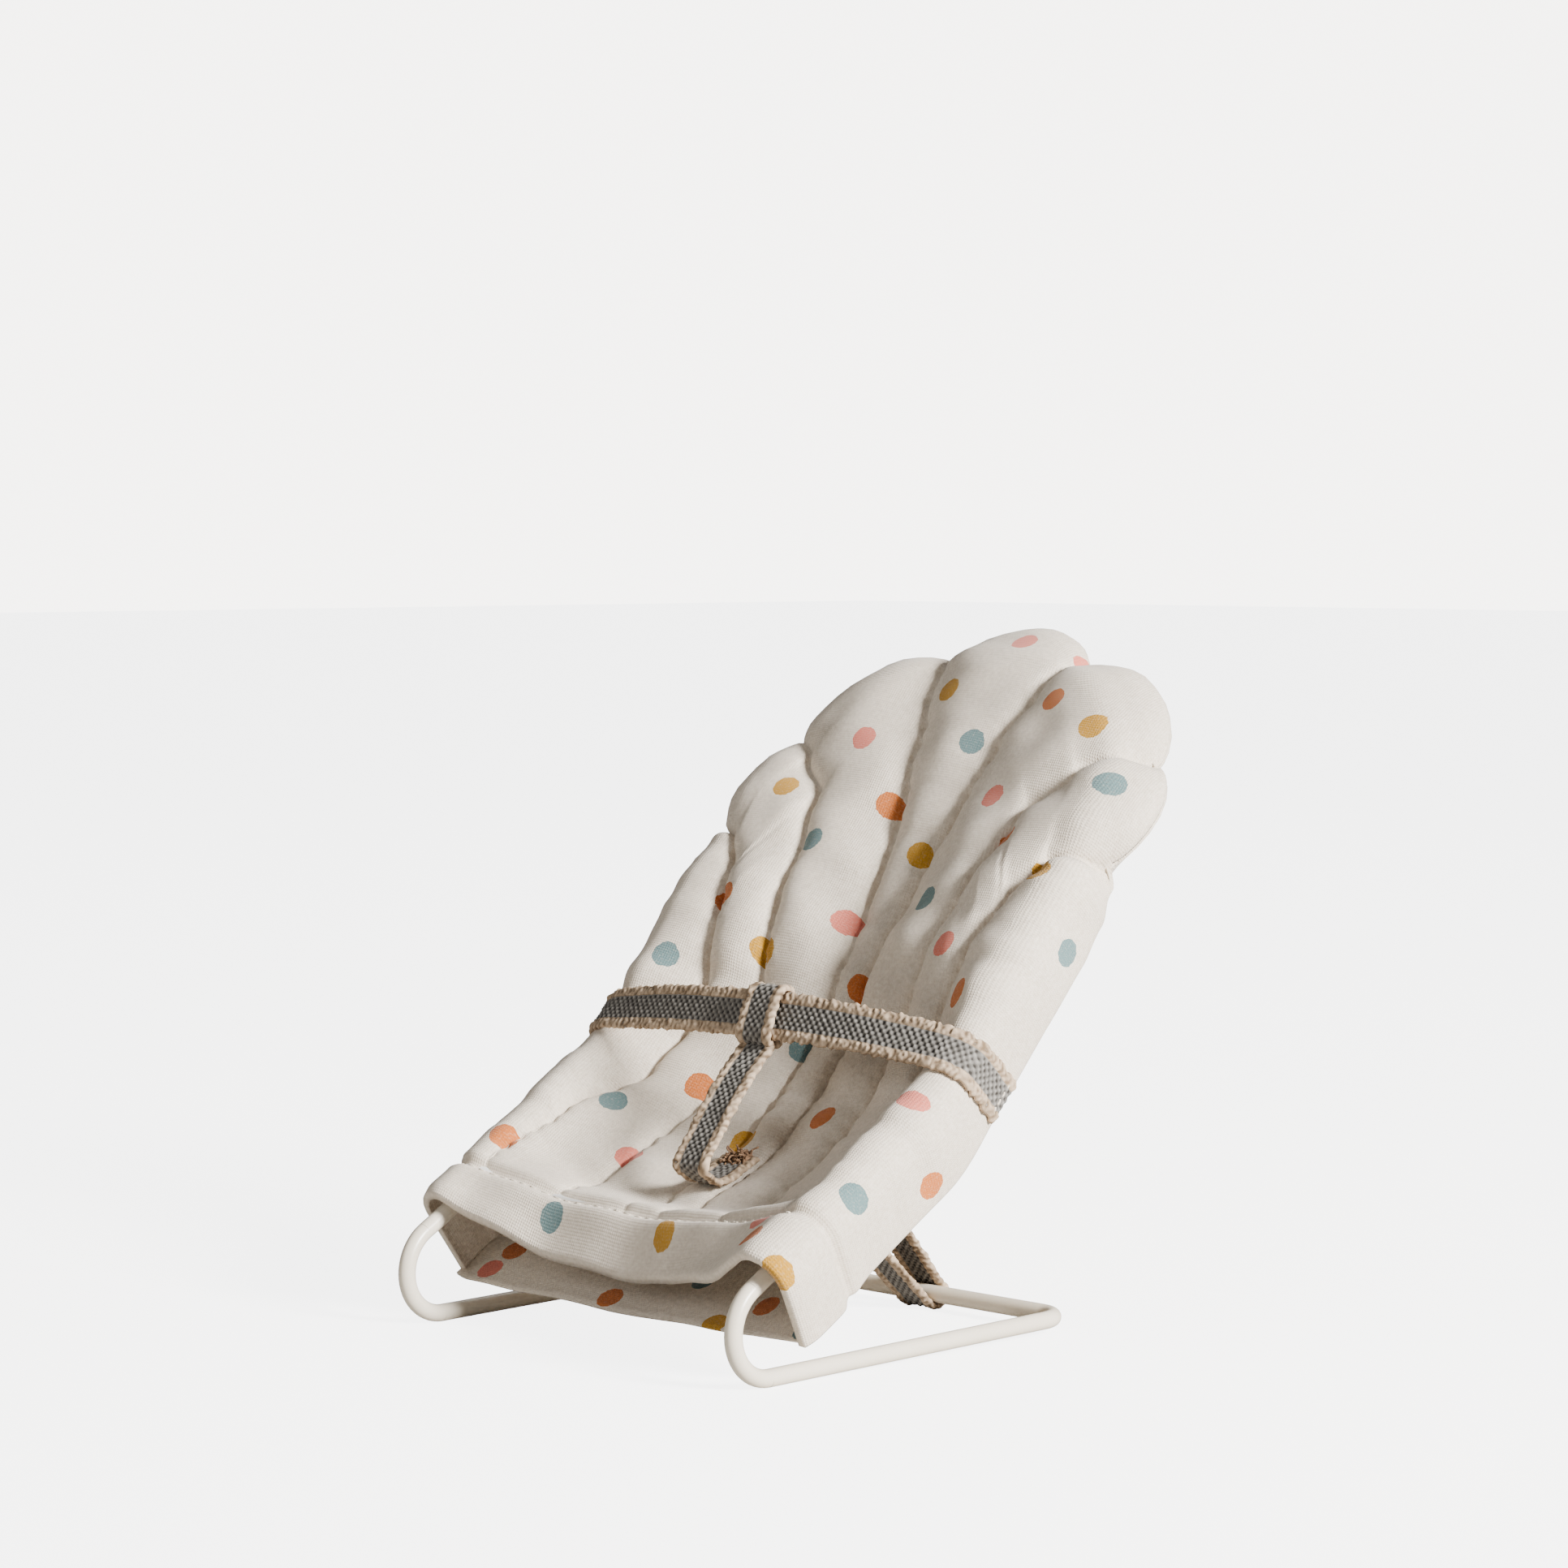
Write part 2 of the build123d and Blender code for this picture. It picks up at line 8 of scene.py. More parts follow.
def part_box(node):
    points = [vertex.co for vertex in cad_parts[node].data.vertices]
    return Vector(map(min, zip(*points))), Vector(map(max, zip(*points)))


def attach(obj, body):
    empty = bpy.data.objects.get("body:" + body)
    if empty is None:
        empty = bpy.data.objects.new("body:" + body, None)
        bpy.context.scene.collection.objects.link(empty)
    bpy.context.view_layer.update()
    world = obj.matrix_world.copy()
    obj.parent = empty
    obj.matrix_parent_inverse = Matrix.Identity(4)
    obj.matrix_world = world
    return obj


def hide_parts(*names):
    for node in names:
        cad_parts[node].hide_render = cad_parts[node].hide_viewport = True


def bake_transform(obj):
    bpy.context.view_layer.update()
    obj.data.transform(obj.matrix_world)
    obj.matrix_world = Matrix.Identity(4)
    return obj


# Doll bouncer seat: a bent wire frame with a quilted pocket, a belt, a crotch strap and a rear stay.
# Lengths are in millimetres with Y = 0 at the front of the spring bends, and are turned into the
# frame's metres when a mesh is made.

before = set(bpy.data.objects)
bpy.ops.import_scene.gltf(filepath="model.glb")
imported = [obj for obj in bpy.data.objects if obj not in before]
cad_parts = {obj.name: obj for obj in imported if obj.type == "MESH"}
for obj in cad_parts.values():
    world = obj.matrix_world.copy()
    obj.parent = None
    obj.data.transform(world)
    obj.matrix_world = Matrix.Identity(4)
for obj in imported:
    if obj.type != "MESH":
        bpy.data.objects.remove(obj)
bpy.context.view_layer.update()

# ---- places read from the frame ----
WIRE_R = 1.5
FRONT_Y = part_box("left_spring_bend")[0][1] * 1000 + WIRE_R
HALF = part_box("seat_wire")[1][0] * 1000 - WIRE_R
BAR_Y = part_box("base_wire")[1][1] * 1000 - WIRE_R - FRONT_Y
BAR_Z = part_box("base_wire")[1][2] * 1000 - WIRE_R
STRAP_X = sum(corner[0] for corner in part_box("crotch_strap")) * 500
STAY_X = sum(corner[0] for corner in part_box("rear_stay")) * 500

# ---- shape of the frame ----
LOWER_BEND_R = 7.5
UPPER_BEND_R = 8.2
BEND_Z = WIRE_R + LOWER_BEND_R
SEAT_SLOPE = math.radians(30.5)
BACK_SLOPE = math.radians(47.5)
TURN = BACK_SLOPE - SEAT_SLOPE
POCKET_Y = 8.0
RECLINE_R = 40.0
RECLINE_START = 40.5 - RECLINE_R * math.tan(TURN / 2)
BOW_R = 36.0
BOW_S = 99.5
BOW_X = HALF - BOW_R
QUARTER = BOW_R * math.pi / 2
MOUTH_Q = BOW_X + QUARTER + BOW_S
BEND_END = (UPPER_BEND_R * (1 - math.sin(SEAT_SLOPE)), BEND_Z + UPPER_BEND_R * math.cos(SEAT_SLOPE))
MOUTH_Z = BEND_END[1] + (POCKET_Y - BEND_END[0]) * math.tan(SEAT_SLOPE)

# ---- shape of the pocket, along the wire (s) and round its bow (q) ----
MARGIN = 8.0                                          # cloth outside the wire on the cutting plan
SHOULDER_S = 98.0                                     # height of the lowest notches along the wire
HEM = 9.3
HEM_SKEW = 3.0                                        # how much further forward the hem's right end lies
PUFF = [(12, 1.1), (45, 1.9), (85, 3.2)]              # rise of a full flute
SETTLE = 2.0
STITCH_PITCH = 3.2
STITCH_LONG = 1.9
CLOTH = 0.5
PLY_GAP = 0.06                                        # between plies that lie on each other
WIRE_GAP = 0.35                                       # between the lining and the wire
STAY_S = (38.5, 44.0)                                 # where the stay's two ends are sewn to the backing
CREST = [(30, 4.65), (60, 3.3)]                       # outside of the cover above the wire
SAG = [(0, 11.2), (8.5, 5.2), (20, 9.5), (36, 11.5), (60, 11.0), (80, 9.5), (100, 8.5), (130, 7.0)]
BOWL_DEPTH = [(60, 8.5), (82, 7.4), (92, 6.1), (102, 5.5), (130, 5.5)]
BOWL = [(52, 0), (80, 1)]
NOTCH_Q = [13.8, 43.0, 62.8]                          # notches between the lobes of the shell
NOTCH_OUT = [4.8, 6.5, 4.95]                          # how far outside the wire they lie
LOBE_OUT = [8.2, 4.7, 3.5]                            # and how far the lobes stand beyond them
EDGE_OUT = [(62.8, 4.95), (70, 3.6), (MOUTH_Q, 3.2)]
EDGE_DROP = [(0, 1.5), (13.8, 1.7), (43, 3.5), (62.8, 2.1), (66, 6), (72, 8.5), (80, 9.5), (112, 10),
             (124, 11), (MOUTH_Q, 12)]
BACK_DROP = [(0, 12.7), (40, 11.8), (60, 10.2), (85, 9.4), (98, 5.5), (110, 3.8), (135, 2.9)]
BACK_SLACK = [(0, 0.5), (40, 1.5), (85, 1.5), (98, 4.0), (115, 5.0)]
SEAMS = [
    [(0, 4), (50, 4.2), (73, 3.5), (90, 4.8), (105, 7), (118, 9.8), (130, 13.3), (142, 15.7)],
    [(0, 20), (33, 20.5), (45, 18.5), (58, 17.2), (72, 19.2), (87, 22), (104, 25.5), (112, 33),
     (121, 43.2)],
    [(0, 36), (15, 38), (30, 36), (45, 31), (60, 29), (73, 31), (84, 34), (92, 38), (98, 48.75)],
]

# ---- straps ----
TAPE_W = 8.2
TAPE_T = 1.15
TAPE_CORE = 0.52                                      # share of the width that the grey core takes
WEAVE_CELL = 0.74
PLAIT_STEP = 1.35                                     # length of one loop of the plaited edges
BELT_S = 52.0
BELT_BOW = 4.0
BELT_TWIST = math.radians(20)
STRAP_HANG = [(36.5, 43.0), (30.0, 34.8), (26.6, 29.8)]
STRAP_REST_S = 24.5                                   # where the crotch strap touches the seat
ANCHOR_S = 32.6                                       # where its lower end is sewn down

# ---- print: middle of each spot on the flat cloth, across and along the seat ----
SPOT_R = 2.4
SPOTS = {
    "coral": [(3, 140), (15.5, 141), (-20, 116), (17, 106), (-6, 80.5), (26, 74), (42, 39.5), (-20.5, 26.5),
              (35, 7)],
    "mustard": [(-6.5, 128), (32, 121), (-32, 104), (3, 95.5), (39, 89.5), (-19, 71.5), (-4, 37.5), (10, 5.5),
                (46, -2.5)],
    "orange": [(20, 126.5), (-9, 104.5), (26, 97), (-31.5, 79.5), (3, 69), (36, 64), (-20.5, 45),
               (12, 42.5), (54.5, 33), (-39, 17), (38, 1.5)],
    "teal": [(5, 117.5), (42, 109), (-20, 94), (14, 84), (49.5, 79.5), (-37, 65.5), (-5.5, 57),
             (-31, 35.5), (46, 17.5), (-17.5, 5)],
}
BACK_SPOTS = {
    "coral": [(-38, 2), (3, 17), (25, 24), (-21, 31), (38, 45), (-6, 52), (22, 66), (-33, 70), (5, 84),
              (-16, 101), (28, 98), (9, 121)],
    "mustard": [(21, -0.5), (-25, 14), (40, 19), (7, 33), (-37, 41), (27, 49), (-14, 64), (12, 75),
                (-30, 89), (35, 84), (-2, 107), (-20, 124)],
    "orange": [(-37, 7.5), (-6, 1), (28, 5.5), (-10, 24), (33, 33), (-29, 53), (10, 48), (-2, 76),
               (37, 68), (18, 90), (-34, 104), (24, 113), (0, 131)],
    "teal": [(41, 1.5), (10, 9), (-34, 22), (19, 37), (-12, 42), (42, 56), (1, 62), (-24, 79), (27, 80),
             (-9, 92), (14, 104), (-27, 113), (33, 108)],
}
COLOURS = {
    "coral": (0.62, 0.17, 0.12),
    "mustard": (0.44, 0.22, 0.02),
    "orange": (0.48, 0.135, 0.03),
    "teal": (0.12, 0.19, 0.19),
}


def blend(value, knots):
    """Smooth steps through the (place, height) pairs."""
    value = min(max(value, knots[0][0]), knots[-1][0])
    i = max(j for j in range(len(knots) - 1) if knots[j][0] <= value)
    share = (value - knots[i][0]) / (knots[i + 1][0] - knots[i][0])
    share = share * share * (3 - 2 * share)
    return knots[i][1] * (1 - share) + knots[i + 1][1] * share


def rail(s):
    """(y, z, slope) of the upper wire, s along it from the pocket's mouth."""
    c, d = math.cos(SEAT_SLOPE), math.sin(SEAT_SLOPE)
    if s <= RECLINE_START:
        return POCKET_Y + s * c, MOUTH_Z + s * d, SEAT_SLOPE
    turned = min((s - RECLINE_START) / RECLINE_R, TURN)
    slope = SEAT_SLOPE + turned
    y = POCKET_Y + RECLINE_START * c + RECLINE_R * (math.sin(slope) - d)
    z = MOUTH_Z + RECLINE_START * d - RECLINE_R * (math.cos(slope) - c)
    rest = max(s - RECLINE_START - RECLINE_R * TURN, 0)
    return y + rest * math.cos(slope), z + rest * math.sin(slope), slope


def place(x, s, n):
    """The point x across, s along the wire and n above the plane of the wires."""
    y, z, slope = rail(s)
    return Vector((x, y - n * math.sin(slope), z + n * math.cos(slope)))


def bow(q):
    """Plan point on the wire and the way out from it, q along the wire from the top centre."""
    side, q = math.copysign(1, q), abs(q)
    if q <= BOW_X:
        return (side * q, BOW_S + BOW_R), (0, 1)
    if q <= BOW_X + QUARTER:
        a = (q - BOW_X) / BOW_R
        out = (side * math.sin(a), math.cos(a))
        return (side * (BOW_X + BOW_R * math.sin(a)), BOW_S + BOW_R * math.cos(a)), out
    return (side * HALF, BOW_S - (q - BOW_X - QUARTER)), (side, 0)


def nearest(p, s):
    """(q, way out, distance inside the wire) for a plan point."""
    side, p = math.copysign(1, p), abs(p)
    if s <= BOW_S:
        return side * (BOW_X + QUARTER + BOW_S - s), (side, 0), HALF - p
    if p <= BOW_X:
        return side * p, (0, 1), BOW_S + BOW_R - s
    a = math.atan2(p - BOW_X, s - BOW_S)
    inside = BOW_R - math.hypot(p - BOW_X, s - BOW_S)
    return side * (BOW_X + BOW_R * a), (side * math.sin(a), math.cos(a)), inside


def lobe(share):
    return (1 - share * share) ** 0.75


def edge_out(q):
    """How far the side or top seam lies outside the wire."""
    q = abs(q)
    if q < NOTCH_Q[0]:
        return NOTCH_OUT[0] + LOBE_OUT[0] * lobe(q / NOTCH_Q[0])
    for i in (0, 1):
        if q < NOTCH_Q[i + 1]:
            share = (q - NOTCH_Q[i]) / (NOTCH_Q[i + 1] - NOTCH_Q[i])
            level = NOTCH_OUT[i] * (1 - share) + NOTCH_OUT[i + 1] * share
            return level + LOBE_OUT[i + 1] * lobe(2 * share - 1)
    return blend(q, EDGE_OUT)


def roll(q):
    """Crest radius, angle rolled round the wire, and straight run after it."""
    radius = blend(bow(q)[0][1], CREST)
    out, drop = edge_out(q), blend(abs(q), EDGE_DROP)
    far = math.hypot(out, drop)
    angle = math.atan2(out, -drop) - math.acos(radius / far)
    return radius, angle, math.sqrt(far * far - radius * radius)


def reach(q):
    """Width of cloth outside the crest."""
    radius, angle, run = roll(q)
    return radius * angle + run


def sag(inside, s, radius):
    """Drop of the cloth below its crest: slack at once in the seat, taut at the sides of the back."""
    depth = blend(s, SAG)
    lean = math.atan(2 * depth / BOW_R)
    share = min(inside / BOW_R, 1)
    if inside < radius * math.sin(lean):
        slack = radius - math.sqrt(radius * radius - inside * inside)
    else:
        slack = radius * (1 - 1 / math.cos(lean)) + depth * (1 - (1 - share) ** 2)
    taut = blend(s, BOWL_DEPTH) * share ** 2
    bowl = blend(s, BOWL)
    return slack * (1 - bowl) + taut * bowl


def settle(inside, s):
    """How far the quilting lowers the middle of the pad, none at the wires or in the hem."""
    along = blend(s, [(HEM, 0), (HEM + 9, 1), (55, 1), (75, 0)])
    return SETTLE * blend(inside, [(0, 0), (11, 1)]) * along


def cover(p, s, depth=0.0):
    """Point in the padded top at plan point p, s, a depth below its unpadded outer face."""
    q, out, inside = nearest(p, s)
    wire, _ = bow(q)
    radius, angle, _ = roll(q)
    if inside >= 0:
        return place(p, s, radius - depth - sag(inside, s, radius - depth) - settle(inside, s))
    width = min(-inside / MARGIN, 1) * reach(q)
    rolled = min(width / radius, angle)
    run = width - rolled * radius
    r = (radius - depth) * math.sin(rolled) + run * math.cos(angle)
    n = (radius - depth) * math.cos(rolled) - run * math.sin(angle)
    return place(wire[0] + out[0] * r, wire[1] + out[1] * r, n)


def backing(p, s, depth=0.0):
    """Point in the backing panel, which hangs below the wires from seam to seam."""
    q, out, inside = nearest(p, s)
    wire, _ = bow(q)
    if inside >= 0:
        share = min(inside / BOW_R, 1)
        n = -blend(s, BACK_DROP) - blend(s, BACK_SLACK) * (1 - (1 - share) ** 2)
        return place(p, s, n - depth)
    share = min(-inside / MARGIN, 1)
    radius, angle, run = roll(q)
    inset = radius - CLOTH - 0.15
    r = (inset * math.sin(angle) + run * math.cos(angle)) * share
    level = inset * math.cos(angle) - run * math.sin(angle)
    n = -blend(s, BACK_DROP) * (1 - share ** 2) + level * share ** 2
    return place(wire[0] + out[0] * r, wire[1] + out[1] * r, n - depth)


# ---- quilting: seams run from the hem to the notches and divide the cloth into seven flutes ----
LINES = [-4, -3, -2, -1, 1, 2, 3, 4]
COLUMNS = [30, 14, 16, 16, 16, 14, 30]


def line_at(k, v):
    """Plan point on seam k (4 is the side edge), v from the front edge to the seam's upper end."""
    side, i = math.copysign(1, k), abs(k)
    if i == 4:
        return side * (HALF + MARGIN), v * SHOULDER_S
    s = v * SEAMS[i - 1][-1][0]
    return side * blend(s, SEAMS[i - 1]), s


def flute_point(a, b, t, v):
    """Plan point a share t of the way from seam a to b; the last row follows the shell's outline."""
    (xa, sa), (xb, sb) = line_at(a, v), line_at(b, v)
    x, s = xa + (xb - xa) * t, sa + (sb - sa) * t
    if abs(a) < 4 and abs(b) < 4:
        qa = math.copysign(NOTCH_Q[abs(a) - 1], a)
        qb = math.copysign(NOTCH_Q[abs(b) - 1], b)
        (wx, ws), out = bow(qa + (qb - qa) * t)
        (xa, sa), (xb, sb) = line_at(a, 1), line_at(b, 1)
        x += (wx + out[0] * MARGIN - xa - (xb - xa) * t) * v ** 4
        s += (ws + out[1] * MARGIN - sa - (sb - sa) * t) * v ** 4
    return x, s


def wrinkle(x, s, size, seed):
    return noise.noise(Vector((x / size, s / size, seed)))


def flute_width(a, b, v):
    """Distance between seams a and b, square to the way they run."""
    (xa, sa), (xb, sb) = line_at(a, v), line_at(b, v)
    low, high = max(v - 0.03, 0), min(v + 0.03, 1)
    (xc, sc), (xd, sd) = line_at(a, low), line_at(a, high)
    (xe, se), (xf, sf) = line_at(b, low), line_at(b, high)
    along = Vector((xd - xc + xf - xe, sd - sc + sf - se)).normalized()
    return abs(along[0] * (sb - sa) - along[1] * (xb - xa))


def rise(a, b, t, v, x, s):
    """How far the padding lifts the cloth between two seams, with small puckers beside the stitches."""
    width = flute_width(a, b, v)
    round_part = (4 * t * (1 - t)) ** 0.55
    full = min(0.25 * width, blend(s, PUFF)) * round_part
    full *= 1 + 0.3 * wrinkle(x, s, 10, 1.5)
    beside = min(t, 1 - t) * width
    by_edge = abs(a) == 4 and t < 0.5 or abs(b) == 4 and t > 0.5
    pucker = 0 if by_edge else 0.7 * math.exp(-beside / 3.0) * wrinkle(x * 0.3, s, 2.4, 7.5)
    crease = 0.7 * wrinkle(x * 0.5, s * 1.3, 6.5, 12.5) * round_part
    behind_hem = min(max((s - HEM) / 6, 0), 1) ** 0.5
    below_top = min((1 - v) * 45, 1) ** 0.5
    under_belt = 1 - 0.75 * math.exp(-((s - BELT_S) / 6) ** 2) * min(max((abs(x) - 30) / 8, 0), 1)
    drawn_down = 1 - 0.85 * math.exp(-((x - STRAP_X / 2) / 9) ** 2 - ((s - ANCHOR_S + 2) / 9) ** 2)
    lift = (full + pucker + crease) * behind_hem * below_top * under_belt * drawn_down
    pressed = 0.5 + 0.5 * math.cos(2 * math.pi * (s - HEM) / STITCH_PITCH)
    in_seam = 0 if by_edge else math.exp(-(beside / 0.9) ** 2) * behind_hem * below_top
    hem_wave = (1.1 + 1.5 * wrinkle(x, s * 0.4, 12, 21.5)) * (1 - behind_hem)
    hem_round = 0.7 * max(1 - s / 2.5, 0) ** 2
    stitched = 1.5 * math.exp(-((s - HEM) / 1.2) ** 2)
    return lift + hem_wave - hem_round - stitched - in_seam * (0.15 + 0.5 * pressed)


def cloth_grid(rows, columns, front=0.0):
    """Rows of (a, b, t, v, x, s) over the whole cloth, closer together at the shell's edge."""
    grid = []
    for j in range(rows + 1):
        v = front + (1 - front) * j / rows
        line = []
        for i, count in enumerate(columns):
            a, b = LINES[i], LINES[i + 1]
            last = count + 1 if i == len(columns) - 1 else count
            for c in range(last):
                t = min(c / count - 0.1 * math.sin(2 * math.pi * c / count), 1)
                x, s = flute_point(a, b, t, v)
                line.append((a, b, t, v, x, s))
        grid.append(line)
    return grid


# ---- making meshes ----
def to_frame(point):
    return (point[0] / 1000, (point[1] + FRONT_Y) / 1000, point[2] / 1000)


def mesh(name, points, faces, uvs=None, tone_shades=None):
    """Smooth mesh object from millimetre points. uvs and tape tone values, which carry painted shade, are
    given per point.
    """
    data = bpy.data.meshes.new(name)
    data.from_pydata([to_frame(p) for p in points], [], faces)
    if uvs:
        layer = data.uv_layers.new(name="flat")
        for corner in data.loops:
            layer.data[corner.index].uv = uvs[corner.vertex_index]
    if tone_shades:
        # Per-point tone of the tape: its own grey and jute, with painted shade in the weave's hollows and
        # painted light on its raised threads.
        attribute = data.attributes.new("tone_shade", "FLOAT", "POINT")
        attribute.data.foreach_set("value", tone_shades)
    data.polygons.foreach_set("use_smooth", [True] * len(data.polygons))
    data.validate()
    data.update()
    obj = bpy.data.objects.new(name, data)
    bpy.context.collection.objects.link(obj)
    return obj


def grid_faces(rows, columns, start=0, flip=False, around=False):
    """Quads of a grid of points given row by row; around joins the last column to the first."""
    faces = []
    for j in range(rows - 1):
        for i in range(columns if around else columns - 1):
            a = start + j * columns + i
            b = start + j * columns + (i + 1) % columns
            face = (a, b, b + columns, a + columns)
            faces.append(face[::-1] if flip else face)
    return faces


def sheet_mesh(name, top, low, uvs):
    """Closed sheet between two grids of points with the same layout."""
    rows, columns = len(top), len(top[0])
    count = rows * columns
    points = [p for line in top for p in line] + [p for line in low for p in line]
    faces = grid_faces(rows, columns) + grid_faces(rows, columns, count, flip=True)
    rim = list(range(columns))
    rim += [j * columns + columns - 1 for j in range(1, rows)]
    rim += [(rows - 1) * columns + i for i in range(columns - 2, -1, -1)]
    rim += [j * columns for j in range(rows - 2, 0, -1)]
    for a, b in zip(rim, rim[1:] + rim[:1]):
        faces.append((b, a, a + count, b + count))
    return mesh(name, points, faces, uvs + uvs)


def tube(name, path, radius, sides=14, capped=True):
    """Round wire or thread along a path of points."""
    rings = []
    up = Vector((1, 0, 0))
    for i, point in enumerate(path):
        way = (path[min(i + 1, len(path) - 1)] - path[max(i - 1, 0)]).normalized()
        side = way.cross(up).normalized()
        up_here = side.cross(way)
        for k in range(sides):
            a = 2 * math.pi * k / sides
            rings.append(point + side * (radius * math.cos(a)) + up_here * (radius * math.sin(a)))
    faces = grid_faces(len(path), sides, around=True)
    if capped:
        faces.append(tuple(range(sides))[::-1])
        faces.append(tuple(len(rings) - sides + k for k in range(sides)))
    return mesh(name, rings, faces)


# ---- materials ----
def new_material(name, roughness):
    material = bpy.data.materials.new(name)
    material.use_nodes = True
    nodes, links = material.node_tree.nodes, material.node_tree.links
    shader = nodes["Principled BSDF"]
    shader.inputs["Roughness"].default_value = roughness
    return material, nodes, links, shader


def maths(nodes, links, operation, a, b):
    """Math node whose inputs are sockets or numbers."""
    node = nodes.new("ShaderNodeMath")
    node.operation = operation
    for i, value in enumerate((a, b)):
        if isinstance(value, (int, float)):
            node.inputs[i].default_value = value
        else:
            links.new(value, node.inputs[i])
    return node.outputs[0]


def varied_colour(nodes, links, shader, base, dark, scale):
    """Base colour that drifts between two tones with noise."""
    place_node = nodes.new("ShaderNodeTexCoord")
    texture = nodes.new("ShaderNodeTexNoise")
    texture.inputs["Scale"].default_value = scale
    texture.inputs["Detail"].default_value = 5
    ramp = nodes.new("ShaderNodeMix")
    ramp.data_type = "RGBA"
    ramp.inputs[6].default_value = (*dark, 1)
    ramp.inputs[7].default_value = (*base, 1)
    links.new(place_node.outputs["Object"], texture.inputs["Vector"])
    links.new(texture.outputs["Fac"], ramp.inputs[0])
    links.new(ramp.outputs[2], shader.inputs["Base Color"])
    return ramp


def thread_bump(nodes, links, shader, count, strength):
    """Fine weave: two sets of threads crossing on the flat cloth."""
    place_node = nodes.new("ShaderNodeTexCoord")
    total = None
    for direction in ("X", "Y"):
        wave = nodes.new("ShaderNodeTexWave")
        wave.bands_direction = direction
        wave.inputs["Scale"].default_value = count
        wave.inputs["Distortion"].default_value = 1.2
        wave.inputs["Detail"].default_value = 2
        links.new(place_node.outputs["UV"], wave.inputs["Vector"])
        height = wave.outputs["Fac"]
        total = height if total is None else maths(nodes, links, "MULTIPLY", total, height)
    bump = nodes.new("ShaderNodeBump")
    bump.inputs["Strength"].default_value = strength
    bump.inputs["Distance"].default_value = 0.0002
    links.new(total, bump.inputs["Height"])
    links.new(bump.outputs["Normal"], shader.inputs["Normal"])


def printed(nodes, links, shader, cloth, spots):
    """Spots with ragged, worn ink at their places on the flat, over the cloth's own colour."""
    place_node = nodes.new("ShaderNodeTexCoord")
    ragged = nodes.new("ShaderNodeTexNoise")
    ragged.inputs["Scale"].default_value = 120
    links.new(place_node.outputs["UV"], ragged.inputs["Vector"])
    edge = maths(nodes, links, "MULTIPLY_ADD", ragged.outputs["Fac"], 0.006)
    edge.node.inputs[2].default_value = SPOT_R / 100 - 0.003
    gaps = nodes.new("ShaderNodeTexNoise")
    gaps.inputs["Scale"].default_value = 260
    gaps.inputs["Detail"].default_value = 3
    links.new(place_node.outputs["UV"], gaps.inputs["Vector"])
    cover_ink = nodes.new("ShaderNodeMapRange")
    cover_ink.inputs["From Min"].default_value = 0.25
    cover_ink.inputs["From Max"].default_value = 0.5
    cover_ink.inputs["To Min"].default_value = 0.8
    links.new(gaps.outputs["Fac"], cover_ink.inputs["Value"])
    for name, places in spots.items():
        near = None
        for x, s in places:
            away = nodes.new("ShaderNodeVectorMath")
            away.operation = "DISTANCE"
            away.inputs[1].default_value = (x / 100, s / 100, 0)
            links.new(place_node.outputs["UV"], away.inputs[0])
            distance = away.outputs["Value"]
            near = distance if near is None else maths(nodes, links, "MINIMUM", near, distance)
        inside = maths(nodes, links, "LESS_THAN", near, edge)
        inked = nodes.new("ShaderNodeMix")
        inked.data_type = "RGBA"
        inked.inputs[7].default_value = (*COLOURS[name], 1)
        links.new(maths(nodes, links, "MULTIPLY", inside, cover_ink.outputs["Result"]), inked.inputs[0])
        links.new(cloth, inked.inputs[6])
        cloth = inked.outputs[2]
    links.new(cloth, shader.inputs["Base Color"])


def cotton(name, base, dark, spots=None):
    """Matt woven cotton, printed where it has spots."""
    material, nodes, links, shader = new_material(name, 0.95)
    shader.inputs["Specular IOR Level"].default_value = 0.15
    shader.inputs["Sheen Weight"].default_value = 0.15
    cloth = varied_colour(nodes, links, shader, base, dark, 1400)
    if spots:
        printed(nodes, links, shader, cloth.outputs[2], spots)
    thread_bump(nodes, links, shader, 70, 0.4)
    return material


def paint():
    material, nodes, links, shader = new_material("cream_paint", 0.3)
    varied_colour(nodes, links, shader, (0.80, 0.72, 0.59), (0.72, 0.63, 0.49), 60)
    return material


def plain(name, base, dark, scale=2500):
    """Matt fibre of two tones, for thread and wadding."""
    material, nodes, links, shader = new_material(name, 0.9)
    shader.inputs["Specular IOR Level"].default_value = 0.15
    varied_colour(nodes, links, shader, base, dark, scale)
    return material


def tape_material():
    """Grey core and jute edges: the tone per point runs from dark to light grey, then the same in jute. The
    dark end of each is painted shade where the weave sinks and the light end is painted light where it rises,
    over the core's and the jute's own tones.
    """
    material, nodes, links, shader = new_material("tape_weave", 0.95)
    shader.inputs["Specular IOR Level"].default_value = 0.1
    tone_shade = nodes.new("ShaderNodeAttribute")
    tone_shade.attribute_name = "tone_shade"
    ramp = nodes.new("ShaderNodeValToRGB")
    # Painted shade and light: the dark stop of each tone is shade in the weave's hollows, and the light stop
    # is light on its raised threads.
    stops = [(0.0, (0.05, 0.045, 0.04)), (0.45, (0.36, 0.34, 0.31)), (0.54, (0.20, 0.135, 0.08)),
             (0.9, (0.62, 0.47, 0.33))]
    for i, (at, colour) in enumerate(stops):
        stop = ramp.color_ramp.elements[i] if i < 2 else ramp.color_ramp.elements.new(at)
        stop.position = at
        stop.color = (*colour, 1)
    links.new(tone_shade.outputs["Fac"], ramp.inputs["Fac"])
    fibre = varied_colour(nodes, links, shader, (1, 1, 1), (0.55, 0.53, 0.5), 3500)
    both = nodes.new("ShaderNodeMix")
    both.data_type = "RGBA"
    both.blend_type = "MULTIPLY"
    both.inputs[0].default_value = 1
    links.new(ramp.outputs["Color"], both.inputs[6])
    links.new(fibre.outputs[2], both.inputs[7])
    links.new(both.outputs[2], shader.inputs["Base Color"])
    return material


